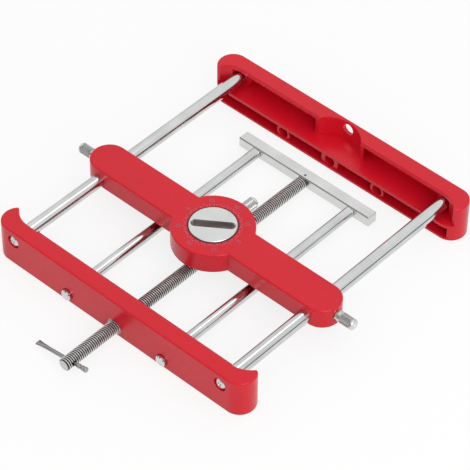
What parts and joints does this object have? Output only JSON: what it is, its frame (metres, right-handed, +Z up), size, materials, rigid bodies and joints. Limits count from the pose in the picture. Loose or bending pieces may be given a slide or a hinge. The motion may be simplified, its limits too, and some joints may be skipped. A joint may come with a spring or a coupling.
{
  "type": "drilling jig",
  "caption": "Bench drilling jig: two moulded rails on guide rods, a lockable sliding carriage with a slotted rotary guide disc, and a screw-driven clamp bar below it.",
  "frame": {"origin": "middle of the bounding box at its base, which is also under the guide disc's axis", "axes": "+X along the rails to the right, +Y from the near rail with the clamp screw to the far rail, +Z up; the rails stand on Z = 0"},
  "size_m": [0.309, 0.3488, 0.0392],
  "materials": {
    "red_plastic": "gloss",
    "ground_steel": "polished",
    "satin_steel": "satin",
    "thread_steel": "satin",
    "plated_steel": "satin",
    "spring_steel": "matte",
    "brass": "satin"
  },
  "bodies": {
    "frame": {"near_rail": "red_plastic", "far_rail": "red_plastic", "guide_rod_left": "ground_steel", "guide_rod_right": "ground_steel", "rail_screw_near_left": "plated_steel", "rail_screw_near_right": "plated_steel", "rail_screw_far_left": "plated_steel", "rail_screw_far_right": "plated_steel", "clamp_nut": "thread_steel"},
    "carriage": {"carriage": "red_plastic", "disc_clip": "spring_steel", "lock_insert_left": "brass", "lock_insert_right": "brass", "lock_insert_hub": "brass"},
    "disc": {"guide_disc": "satin_steel"},
    "lock_left": {"lock_screw_left": "plated_steel"},
    "lock_right": {"lock_screw_right": "plated_steel"},
    "lock_hub": {"lock_screw_hub": "plated_steel"},
    "clamp": {"clamp_bar": "satin_steel", "clamp_rod_left": "ground_steel", "clamp_rod_right": "ground_steel", "clamp_pin": "spring_steel"},
    "screw": {"clamp_screw": "thread_steel"},
    "tommy": {"tommy_bar": "thread_steel"}
  },
  "joints": [
    {"name": "carriage_slide", "type": "slide", "parent": "frame", "child": "carriage", "axis": [0, 1, 0], "range_m": [-0.066, 0.132]},
    {"name": "disc_turn", "type": "hinge", "parent": "carriage", "child": "disc", "pos_m": [0, 0, 0.03], "axis": [0, 0, 1], "continuous": true},
    {"name": "lock_left_turn", "type": "hinge", "parent": "carriage", "child": "lock_left", "pos_m": [-0.148, 0, 0.029], "axis": [-1, 0, 0], "continuous": true},
    {"name": "lock_right_turn", "type": "hinge", "parent": "carriage", "child": "lock_right", "pos_m": [0.148, 0, 0.029], "axis": [1, 0, 0], "continuous": true},
    {"name": "lock_hub_turn", "type": "hinge", "parent": "carriage", "child": "lock_hub", "pos_m": [0, 0.044, 0.029], "axis": [0, 1, 0], "continuous": true},
    {"name": "clamp_slide", "type": "slide", "parent": "frame", "child": "clamp", "axis": [0, 1, 0], "range_m": [-0.2, 0.022]},
    {"name": "screw_turn", "type": "hinge", "parent": "clamp", "child": "screw", "pos_m": [0, 0, 0.0085], "axis": [0, 1, 0], "range_deg": [-36000, 3960]},
    {"name": "tommy_slide", "type": "slide", "parent": "screw", "child": "tommy", "axis": [0.9903, 0, 0.1392], "range_m": [-0.0105, 0.027]}
  ],
  "couplings": [
    {"joint": "screw_turn", "follows": "clamp_slide", "rad_per_m": 3141.6}
  ]
}
